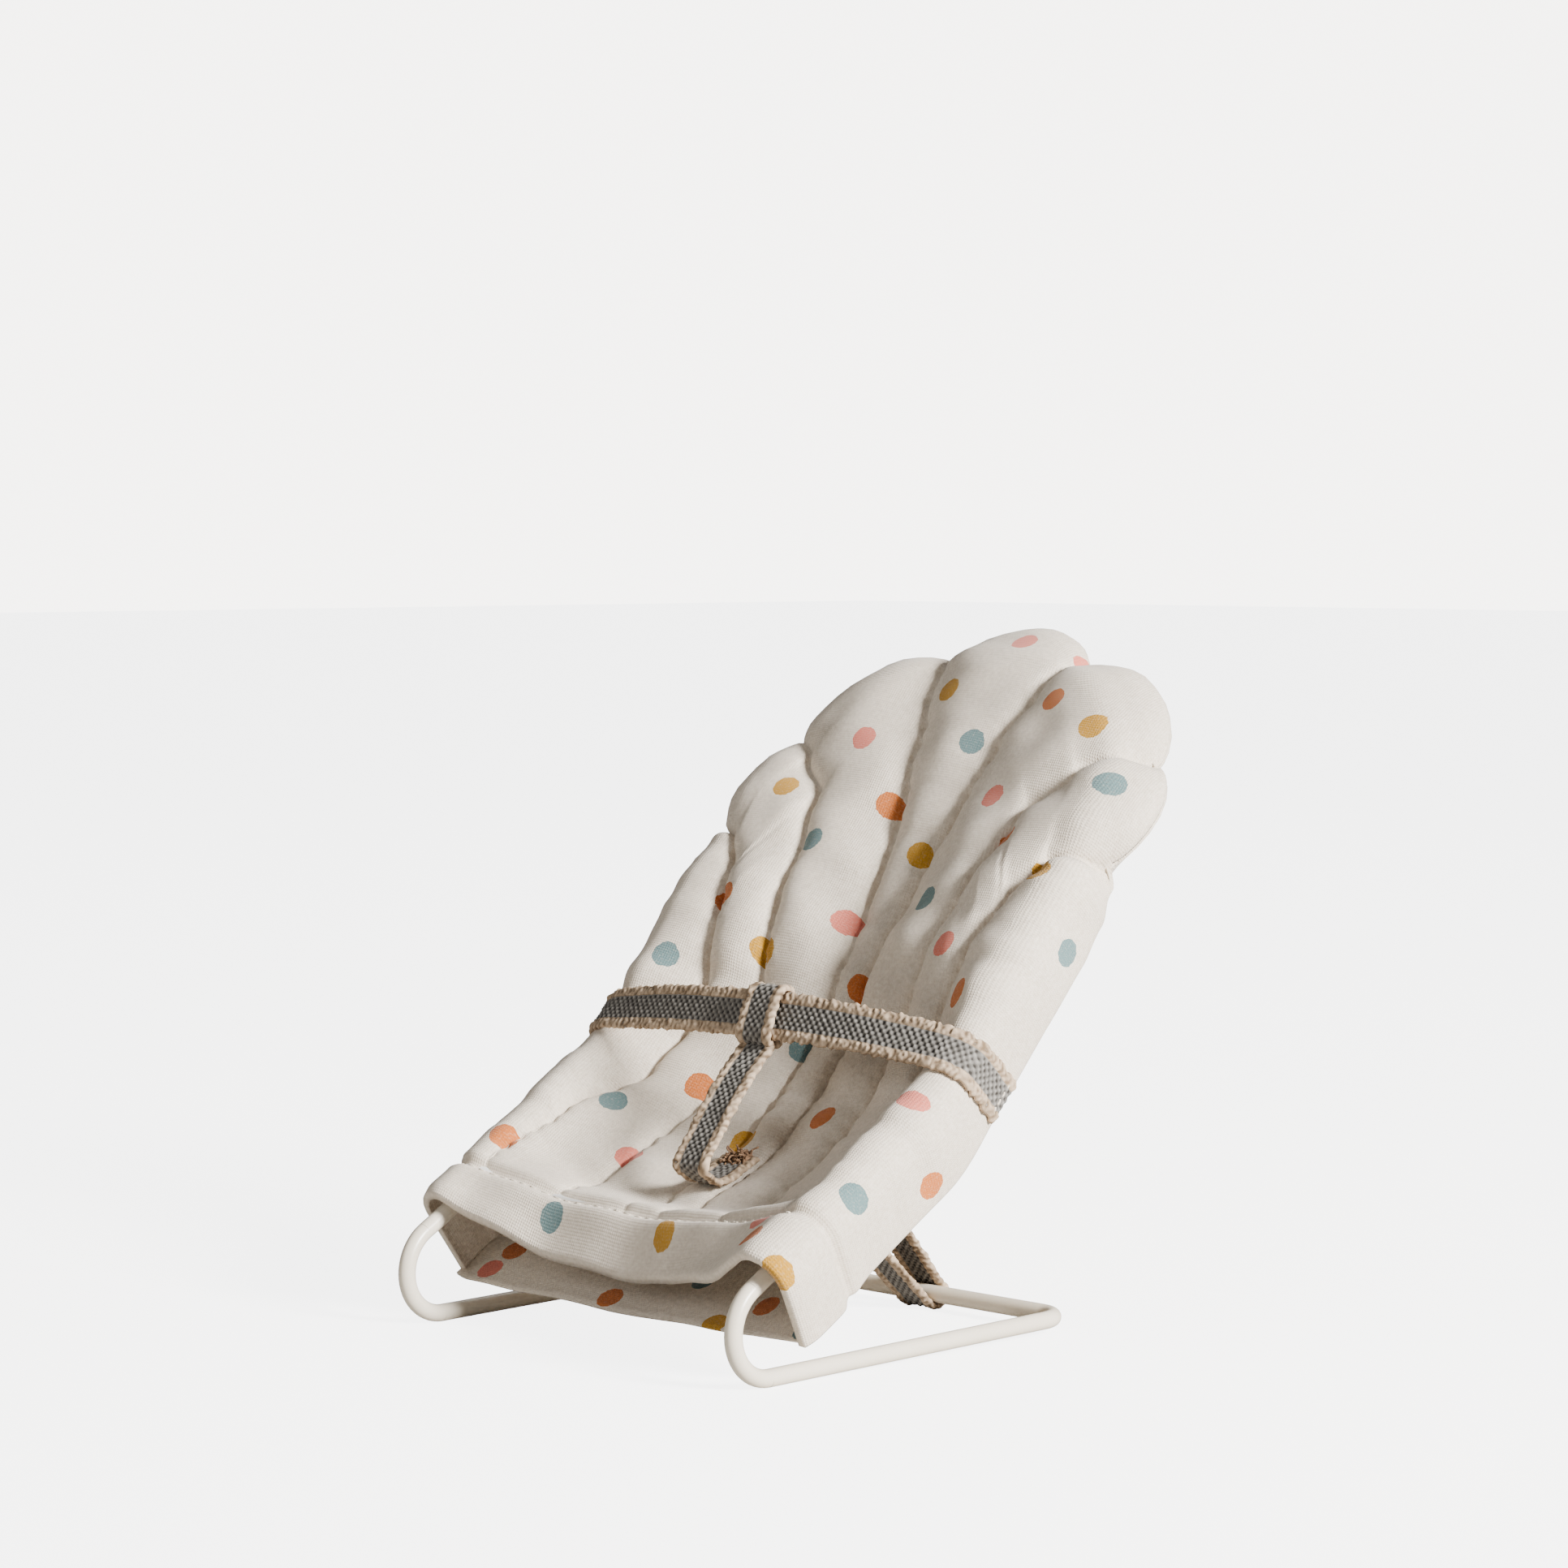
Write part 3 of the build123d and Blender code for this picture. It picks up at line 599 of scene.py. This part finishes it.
PAINT = paint()
COTTON = cotton("printed_cotton_look", (0.85, 0.755, 0.63), (0.52, 0.43, 0.33), SPOTS)
BACK_COTTON = cotton("backing_cotton_look", (0.85, 0.755, 0.63), (0.52, 0.43, 0.33), BACK_SPOTS)
LINING = cotton("plain_cotton_look", (0.76, 0.70, 0.60), (0.58, 0.50, 0.40))
WADDING = plain("wadding_look", (0.86, 0.85, 0.82), (0.74, 0.72, 0.68), scale=600)
THREAD = plain("thread_look", (0.76, 0.68, 0.57), (0.52, 0.44, 0.34))
DARK_THREAD = plain("dark_thread_look", (0.34, 0.20, 0.11), (0.10, 0.06, 0.04), scale=400)
TAPE = tape_material()


def finish_piece(obj, material, body, nodes):
    """Material, body and CAD node of a piece that stands for a node."""
    obj.data.materials.append(material)
    if body:
        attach(obj, body)
    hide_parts(*nodes)
    return obj


# ---- pocket ----
def flat_uv(x, s):
    """Place on the flat cloth in tenths of a metre, with the margin at its real width."""
    q, out, inside = nearest(x, s)
    if inside < 0:
        more = -inside * (reach(q) / MARGIN - 1)
        x, s = x + out[0] * more, s + out[1] * more
    return x / 100, s / 100


def hem_ply(s):
    """Thickness of the cover: turned under and soft at its hem, single behind it."""
    return CLOTH + 0.9 * min(max((HEM - s) / 2, 0), 1)


def skewed(x, s):
    """The cloth's front edge reaches further forward on its right-hand side."""
    return s - HEM_SKEW * blend(x, [(12, 0), (36, 1)]) * max(1 - s / HEM, 0)


def quilted_cover():
    grid = cloth_grid(210, COLUMNS)
    top, low, uvs = [], [], []
    for line in grid:
        heights = [rise(a, b, t, v, x, s) for a, b, t, v, x, s in line]
        places = [(x, skewed(x, s)) for *_, x, s in line]
        top.append([cover(*at, -height) for at, height in zip(places, heights)])
        low.append([cover(*at, hem_ply(at[1]) - height) for at, height in zip(places, heights)])
        uvs += [flat_uv(*at) for at in places]
    return sheet_mesh("cover_cloth", top, low, uvs)


def inner_ply(name, shallow, deep):
    """Wadding or lining: between two depths, behind the hem and short of the seams."""
    grid = cloth_grid(70, [8, 6, 6, 6, 6, 6, 8], front=0.075)
    top, low, uvs = [], [], []
    for line in grid[:-3]:
        inner = line[3:-3]
        top.append([cover(x, s, shallow(s)) for *_, x, s in inner])
        low.append([cover(x, s, deep(s)) for *_, x, s in inner])
        uvs += [(x / 100, s / 100) for *_, x, s in inner]
    return sheet_mesh(name, top, low, uvs)


def over_wire(s):
    """Depth of the lining's lower face, just above the wire."""
    return blend(s, CREST) - WIRE_R - WIRE_GAP


def backing_panel():
    """Slack plain cloth with soft ripples, its front edge level with the pocket's mouth."""
    grid = cloth_grid(110, [16, 10, 10, 12, 10, 10, 16], front=-0.012)
    top, low, uvs = [], [], []
    for line in grid:
        upper, under = [], []
        for *_, x, s in line:
            inside = max(nearest(x, s)[2], 0)
            ripple = 0.9 * wrinkle(x, s * 0.5, 14, 31.5) * min(inside / 10, 1)
            upper.append(backing(x, s, ripple))
            under.append(backing(x, s, ripple + CLOTH))
        top.append(upper)
        low.append(under)
        uvs += [flat_uv(x, s) for *_, x, s in line]
    return sheet_mesh("backing_cloth", top, low, uvs)


def flute_of(x, s):
    """(a, b, t, v) of the flute under a plan point, found by stepping along the seams."""
    for a, b in zip(LINES, LINES[1:]):
        v = s / 110
        for _ in range(14):
            (xa, _), (xb, _) = line_at(a, v), line_at(b, v)
            t = min(max((x - xa) / max(xb - xa, 0.1), 0), 1)
            v = min(v * s / max(flute_point(a, b, t, v)[1], 0.1), 1)
        if xa <= x <= xb:
            return a, b, t, v
    return None


def on_cloth(x, s, lift):
    """Point a little above the padded cloth."""
    found = flute_of(x, s)
    height = rise(*found, x, s) if found else 0
    return cover(x, s, -height - lift)


def join(objects, name):
    """One mesh made of several that share a body and a node."""
    bpy.ops.object.select_all(action="DESELECT")
    for obj in objects:
        obj.select_set(True)
    bpy.context.view_layer.objects.active = objects[0]
    bpy.ops.object.join()
    objects[0].name = name
    return objects[0]


# ---- tapes ----
def weave(u, w):
    """(half thickness, spread, tone) of the tape u along it and w from -1 to 1 across it; the tone carries
    painted shade, darker where the weave sinks and lighter where it rises.
    """
    middle = (1 + TAPE_CORE) / 2
    from_middle = abs(abs(w) - middle) / (1 - middle)
    if abs(w) > TAPE_CORE:
        turns = u / PLAIT_STEP + 0.6 * from_middle + 0.5 * wrinkle(u, w, 3, 19.5)
        chain = 0.5 + 0.5 * math.cos(2 * math.pi * turns)
        chain = 0.25 + 0.5 * chain + 0.7 * wrinkle(u, w * 3, 0.7, 13.5)
        round_part = math.sqrt(max(1 - (0.93 * from_middle) ** 2, 0.1))
        frayed = 1 + (0.03 * chain + 0.11 * wrinkle(u, w, 1.0, 17.5)) * max(abs(w) - 0.7, 0) / 0.3
        half = TAPE_T / 2 * (0.75 + 0.5 * chain) * round_part
        # Painted light on the plait's raised loops and painted shade between them, over the jute's own tone.
        return half, TAPE_W / 2 * frayed, 0.56 + 0.44 * min(chain, 1)
    knot = math.sin(math.pi * u / WEAVE_CELL) * math.sin(math.pi * w * TAPE_W / 2 / WEAVE_CELL)
    # Painted light where the basket weave's knots rise and painted shade where they sink, over the core's own
    # grey.
    return TAPE_T / 2 * (0.6 + 0.35 * knot), TAPE_W / 2, 0.2 + 0.24 * knot


def tape(name, path, across, twist=None):
    """Woven tape along a path: a basket weave with a plaited edge on each side."""
    step = 0.24
    points = [path[0]]
    for a, b in zip(path, path[1:]):
        count = max(round((b - a).length / step), 1)
        points += [a + (b - a) * (i / count) for i in range(1, count + 1)]
    columns = 38
    rings, tone_shades = [], []
    for i, point in enumerate(points):
        way = (points[min(i + 3, len(points) - 1)] - points[max(i - 3, 0)]).normalized()
        side = (across - way * across.dot(way)).normalized()
        if twist:
            side = Matrix.Rotation(twist(i / (len(points) - 1)), 3, way) @ side
        out = side.cross(way)
        u = i * step
        for face in (1, -1):
            for c in range(columns):
                w = (c / (columns - 1) * 2 - 1) * face
                half, spread, tone_shade = weave(u, w)
                half *= 1 + 0.35 * wrinkle(u, w * 4, 0.6, 3.5 * face)
                rings.append(point + side * (spread * w) + out * (half * face))
                # Tone with the weave's painted shade and light, plus random thread tone.
                tone_shades.append(tone_shade + 0.12 * wrinkle(u * 2, w * 9, 1, 5.5))
    faces = grid_faces(len(points), 2 * columns, around=True)
    faces.append(tuple(range(2 * columns))[::-1])
    faces.append(tuple(len(rings) - 2 * columns + k for k in range(2 * columns)))
    return mesh(name, rings, faces, tone_shades=tone_shades)


def smooth_path(points, count=60):
    """Points along a smooth curve that passes through the given ones."""
    result = []
    padded_points = [points[0] * 2 - points[1], *points, points[-1] * 2 - points[-2]]
    spans = len(points) - 1
    for i in range(spans):
        a, b, c, d = padded_points[i:i + 4]
        steps = max(count // spans, 2)
        for k in range(steps):
            t = k / steps
            result.append(0.5 * ((2 * b) + (c - a) * t + (2 * a - 5 * b + 4 * c - d) * t ** 2
                                 + (3 * b - 3 * c + d - a) * t ** 3))
    result.append(points[-1])
    return result


BELT_CREST = blend(BELT_S, CREST) + 1.1 + TAPE_T / 2
BELT_SLOPE = rail(BELT_S)[2]
BELT_ALONG = Vector((0, math.cos(BELT_SLOPE), math.sin(BELT_SLOPE)))


def waist_belt():
    """Tape across the lap, over both wires and down to the side seams, its front edge tipped down."""
    side = HALF + BELT_CREST
    seam = 1 - blend(abs(nearest(HALF, BELT_S)[0]), EDGE_DROP)
    right = [(HALF / 2, BELT_CREST + BELT_BOW * 0.8), (HALF - 4, BELT_CREST + 1.0),
             (HALF + 1.6, BELT_CREST - 0.3), (side - 0.4, BELT_CREST - 2.8), (side, -1.5),
             (side - 0.9, seam)]
    left = [(-x, n) for x, n in reversed(right)]
    path = [place(x, BELT_S, n) for x, n in [*left, (0, BELT_CREST + BELT_BOW), *right]]

    def twist(share):
        return BELT_TWIST * max(1 - (abs(2 * share - 1) / 0.75) ** 2, 0)
    return tape("belt_tape", smooth_path(path, 120), BELT_ALONG, twist)


def loop_axes():
    """Middle of the crotch loop, its long way and its short way, turned with the belt."""
    n = BELT_CREST + BELT_BOW - 0.2 * BELT_BOW * abs(STRAP_X) / (HALF / 2) - 0.1
    along = Matrix.Rotation(BELT_TWIST, 3, "X") @ BELT_ALONG
    up = Vector((0, -along.z, along.y))
    return place(STRAP_X, BELT_S, n), along, up


def crotch_loop():
    """Closed flat loop of tape around the belt."""
    middle, along, up = loop_axes()
    long_half, short_half = TAPE_W / 2 + 0.9, TAPE_T / 2 + 1.3
    corners = []
    for i in range(24):
        a = 2 * math.pi * i / 24
        c, d = math.cos(a), math.sin(a)
        x = math.copysign(abs(c) ** 0.5, c) * long_half
        y = math.copysign(abs(d) ** 0.7, d) * short_half
        corners.append(middle + along * x + up * y)
    return tape("loop_tape", [*corners, corners[0]], Vector((1, 0, 0)))


def seat_height(s):
    """Height of the padded seat under the crotch strap."""
    y, z, slope = rail(s)
    heights = []
    for i in range(5):
        v = on_cloth(STRAP_X + TAPE_W * (i / 4 - 0.5), s, 0)
        heights.append((v.z - z) * math.cos(slope) - (v.y - y) * math.sin(slope))
    return max(heights)


def crotch_strap():
    """Tape that hangs from the loop, turns forward on the seat and ends at the tack."""
    middle, along, up = loop_axes()
    top = middle - along * (TAPE_W / 2 + 0.7) - up * 0.4
    hang = [Vector((STRAP_X, y, z)) for y, z in STRAP_HANG]
    end = place(STRAP_X * 0.5, ANCHOR_S, seat_height(ANCHOR_S) + 0.4 + TAPE_T / 2)
    rest = place(STRAP_X * 0.8, STRAP_REST_S, seat_height(STRAP_REST_S) + 0.3 + TAPE_T / 2)
    turn = rest + Vector((0, -3.4, 1.2))
    path = [top, *hang, turn, rest, end]
    return tape("crotch_tape", smooth_path(path, 90), Vector((1, 0, 0)))


def rear_stay():
    """Tape from the backing down round the rear bar and back up, a little apart at the top."""
    ends = [backing(STAY_X, s, CLOTH + 0.3) for s in STAY_S]
    r = WIRE_R + TAPE_T / 2 + 0.05
    bar = Vector((STAY_X, BAR_Y, BAR_Z))
    lean = math.atan2(BAR_Z - ends[0].z, BAR_Y - ends[0].y)
    turn = []
    for i in range(15):
        a = lean - math.radians(95) + math.radians(190) * i / 14
        turn.append(bar + Vector((0, r * math.cos(a), r * math.sin(a))))
    path = [ends[0], (ends[0] + turn[0]) / 2 + Vector((0, -0.2, -0.3)), *turn,
            (ends[1] + turn[-1]) / 2 + Vector((0, 0.2, 0.3)), ends[1]]
    return tape("stay_tape", path, Vector((1, 0, 0)))


# ---- threads ----
THREAD_R = 0.19


def stitch(name, place_at, start, length):
    """One stitch: a short thread that comes out of the cloth and goes back in."""
    path = []
    for i in range(6):
        share = i / 5
        lift = 0.16 * math.sin(math.pi * share) - 0.05
        path.append(place_at(start + length * share, lift))
    return tube(name, path, THREAD_R, 6)


def row_of_stitches(name, place_at, length, pitch=2.5, size=1.5):
    """Stitches along a line, slightly uneven as a machine makes them in soft cloth."""
    pieces = []
    random.seed(4)
    start = 0.3
    while start + size < length:
        pieces.append(stitch(name, place_at, start, size * random.uniform(0.85, 1.1)))
        start += pitch * random.uniform(0.92, 1.08)
    return pieces


def quilting_threads():
    """Stitches along the six seams, from the hem to the notches."""
    pieces = []
    for k in (-3, -2, -1, 1, 2, 3):
        top = SEAMS[abs(k) - 1][-1][0]

        def place_at(d, lift, k=k, top=top):
            v = min(d / top, 1)
            x, s = line_at(k, v)
            return cover(x, s, -lift - rise(k, k + 1 if k + 1 else 1, 0, v, x, s))
        for i in range(1, int((top - HEM) / STITCH_PITCH)):
            start = HEM + i * STITCH_PITCH - STITCH_LONG / 2
            pieces.append(stitch("quilting", place_at, start, STITCH_LONG))
    return join(pieces, "quilting")


def edge_threads():
    """Seam around the outside of the pocket, from one mouth corner to the other."""
    def place_at(d, lift):
        q = -MOUTH_Q + 1 + d
        (x, s), out = bow(q)
        w = MARGIN * (1 - 1.3 / reach(q))
        return cover(x + out[0] * w, s + out[1] * w, -0.1 - lift)
    return join(row_of_stitches("edge_sewing", place_at, 2 * MOUTH_Q - 2), "edge_sewing")


def cover_hem_thread():
    """Seam along the cover's front hem."""
    def place_at(d, lift):
        return on_cloth(d - HALF - 2, HEM - 0.6, lift + 0.02)
    return join(row_of_stitches("cover_hem_sewing", place_at, 2 * HALF + 4), "cover_hem_sewing")


def backing_hem_thread():
    """Seam along the backing's front hem."""
    def place_at(d, lift):
        x = d - HALF + 3
        ripple = 0.9 * wrinkle(x, 2.9, 14, 31.5) * min((HALF - abs(x)) / 10, 1)
        return backing(x, 5.8, CLOTH + lift + ripple)
    return join(row_of_stitches("backing_hem_sewing", place_at, 2 * HALF - 6), "backing_hem_sewing")


def belt_tacks():
    """A row of stitches across each end of the belt, beside the pocket's side seam."""
    pieces = []
    side = HALF + BELT_CREST - 0.9 + TAPE_T / 2 - 0.1
    low = 2.4 - blend(abs(nearest(HALF, BELT_S)[0]), EDGE_DROP)
    for sign in (-1, 1):
        def place_at(d, lift, sign=sign):
            return place(sign * (side + lift), BELT_S - TAPE_W / 2 + 0.8 + d, low)
        pieces += row_of_stitches("belt_sewing", place_at, TAPE_W - 1.4, 1.7, 1.1)
    return join(pieces, "belt_sewing")


def crotch_tack():
    """Dark stitches through the strap's lower end, in a tuft of frayed thread ends."""
    random.seed(9)
    height = seat_height(ANCHOR_S) + 0.4 + TAPE_T
    pieces = []
    for i in range(5):
        x = STRAP_X * 0.5 - 2.6 + 1.3 * i

        def place_at(d, lift, x=x):
            return place(x, ANCHOR_S - 2.4 + d, height + 2 * lift)
        pieces.append(stitch("crotch_sewing", place_at, 0, 2.2))
    for i in range(110):
        x = STRAP_X * 0.5 + random.uniform(-2.4, 2.4)
        start = place(x, ANCHOR_S - 1 + random.uniform(-1.8, 1.8), height - 0.6)
        lean = Vector((random.uniform(-1, 1), random.uniform(-1, 1), random.uniform(0.5, 1.6)))
        curl = Vector((random.uniform(-0.8, 0.8), random.uniform(-0.8, 0.8), random.uniform(0, 0.5)))
        end = start + lean * random.uniform(0.8, 1.3)
        path = smooth_path([start, (start + end) / 2 + curl, end], 8)
        pieces.append(tube("crotch_sewing", path, 0.17, 5))
    return join(pieces, "crotch_sewing")


def stay_tack():
    """A row of stitches across each end of the stay."""
    pieces = []
    for s in STAY_S:
        def place_at(d, lift, s=s):
            return backing(STAY_X - 3 + d, s - 1.2, CLOTH + 0.05 + lift)
        pieces += row_of_stitches("stay_sewing", place_at, 6, 1.6, 1.1)
    return join(pieces, "stay_sewing")


# ---- wire ----
def spring_bend(side):
    """Front bend of the wire, from the floor rail up into the slope of the seat."""
    x = side * HALF
    path = [Vector((x, LOWER_BEND_R * (1 - math.sin(a)), BEND_Z - LOWER_BEND_R * math.cos(a)))
            for a in (math.radians(90) * i / 14 for i in range(15))]
    turn = math.pi / 2 - SEAT_SLOPE
    path += [Vector((x, UPPER_BEND_R * (1 - math.cos(a)), BEND_Z + UPPER_BEND_R * math.sin(a)))
             for a in (turn * i / 14 for i in range(1, 15))]
    return tube("left_bend" if side < 0 else "right_bend", path, WIRE_R, 28, capped=False)


# ---- build ----
for node in ("base_wire", "seat_wire"):
    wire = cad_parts[node]
    wire.data.materials.clear()
    wire.data.materials.append(PAINT)

for side, node in ((-1, "left_spring_bend"), (1, "right_spring_bend")):
    bend = finish_piece(spring_bend(side), PAINT, None, [node])
    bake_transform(bend)

cover_cloth = finish_piece(quilted_cover(), COTTON, "seat", ["quilted_cover"])
wadding = inner_ply("wadding_layer", lambda s: CLOTH + PLY_GAP, lambda s: over_wire(s) - CLOTH - PLY_GAP)
finish_piece(wadding, WADDING, "seat", ["wadding"])
lining = inner_ply("lining_cloth", lambda s: over_wire(s) - CLOTH, over_wire)
finish_piece(lining, LINING, "seat", ["quilt_lining"])
back = finish_piece(backing_panel(), BACK_COTTON, "seat", ["backing_panel"])

finish_piece(waist_belt(), TAPE, "seat", ["waist_belt"])
finish_piece(crotch_loop(), TAPE, "crotch_loop", ["crotch_loop"])
strap = finish_piece(crotch_strap(), TAPE, None, ["crotch_strap"])
loop_middle, loop_along, _ = loop_axes()
strap_low = to_frame(place(STRAP_X, 20.5, 0))
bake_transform(strap)
stay = finish_piece(rear_stay(), TAPE, None, ["rear_stay"])
to_frame(backing(STAY_X, 41.0, CLOTH + 1.0))
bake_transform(stay)

for sewing, node in (
    (quilting_threads, "quilting_threads"),
    (edge_threads, "edge_threads"),
    (cover_hem_thread, "cover_hem_thread"),
    (backing_hem_thread, "backing_hem_thread"),
    (belt_tacks, "belt_tacks"),
    (crotch_tack, "crotch_tack"),
    (stay_tack, "stay_tack"),
):
    look = DARK_THREAD if node == "crotch_tack" else THREAD
    finish_piece(sewing(), look, "seat", [node])

# ---- camera, floor and light ----
# The floor and the sky glow for the camera only, so the background is white and lights nothing.
FLOOR_GLOW = 5.0
SKY_GLOW = 6.0
AMBIENT = 0.16

camera_data = bpy.data.cameras.new("camera")
camera_data.lens = 100
camera_data.sensor_width = 36
camera_data.clip_start = 0.01
camera = bpy.data.objects.new("camera", camera_data)
bpy.context.collection.objects.link(camera)
camera.location = to_frame((536.5, -466.0, 135.0))
camera.rotation_euler = (math.radians(90 - 3.25), 0, math.radians(46.1))
bpy.context.scene.camera = camera

floor_data = bpy.data.meshes.new("floor")
floor_data.from_pydata([(-6, -6, 0), (6, -6, 0), (6, 6, 0), (-6, 6, 0)], [], [(0, 1, 2, 3)])
floor = bpy.data.objects.new("floor", floor_data)
bpy.context.collection.objects.link(floor)
floor_look, floor_nodes, floor_links, floor_shader = new_material("floor_look", 0.9)
floor_shader.inputs["Base Color"].default_value = (0.5, 0.48, 0.45, 1)
floor_shader.inputs["Specular IOR Level"].default_value = 0.0
floor_shader.inputs["Emission Color"].default_value = (1, 1, 1, 1)
floor_ray = floor_nodes.new("ShaderNodeLightPath").outputs["Is Camera Ray"]
floor_glow = maths(floor_nodes, floor_links, "MULTIPLY", floor_ray, FLOOR_GLOW)
floor_links.new(floor_glow, floor_shader.inputs["Emission Strength"])
floor_data.materials.append(floor_look)


def area_light(name, position, target, size, power):
    """Round soft light of the given watts that faces the target."""
    data = bpy.data.lights.new(name, "AREA")
    data.shape = "DISK"
    data.size = size
    data.energy = power
    light = bpy.data.objects.new(name, data)
    light.location = position
    light.rotation_euler = (Vector(target) - Vector(position)).to_track_quat("-Z", "Y").to_euler()
    bpy.context.collection.objects.link(light)


area_light("key", (1.15, 0.08, 0.52), (0, 0, 0.06), 0.35, 66.0)
area_light("fill", (-0.1, -1.1, 0.6), (0, 0, 0.06), 0.8, 3.5)
area_light("rear", (-0.5, 0.8, 0.8), (0, 0, 0.06), 0.6, 2.0)
world = bpy.data.worlds.new("world")
world.use_nodes = True
sky_nodes, sky_links = world.node_tree.nodes, world.node_tree.links
sky = sky_nodes["Background"]
sky.inputs["Color"].default_value = (1, 0.97, 0.93, 1)
sky_ray = sky_nodes.new("ShaderNodeLightPath").outputs["Is Camera Ray"]
sky_glow = maths(sky_nodes, sky_links, "MULTIPLY", sky_ray, SKY_GLOW)
sky_links.new(maths(sky_nodes, sky_links, "ADD", sky_glow, AMBIENT), sky.inputs["Strength"])
bpy.context.scene.world = world
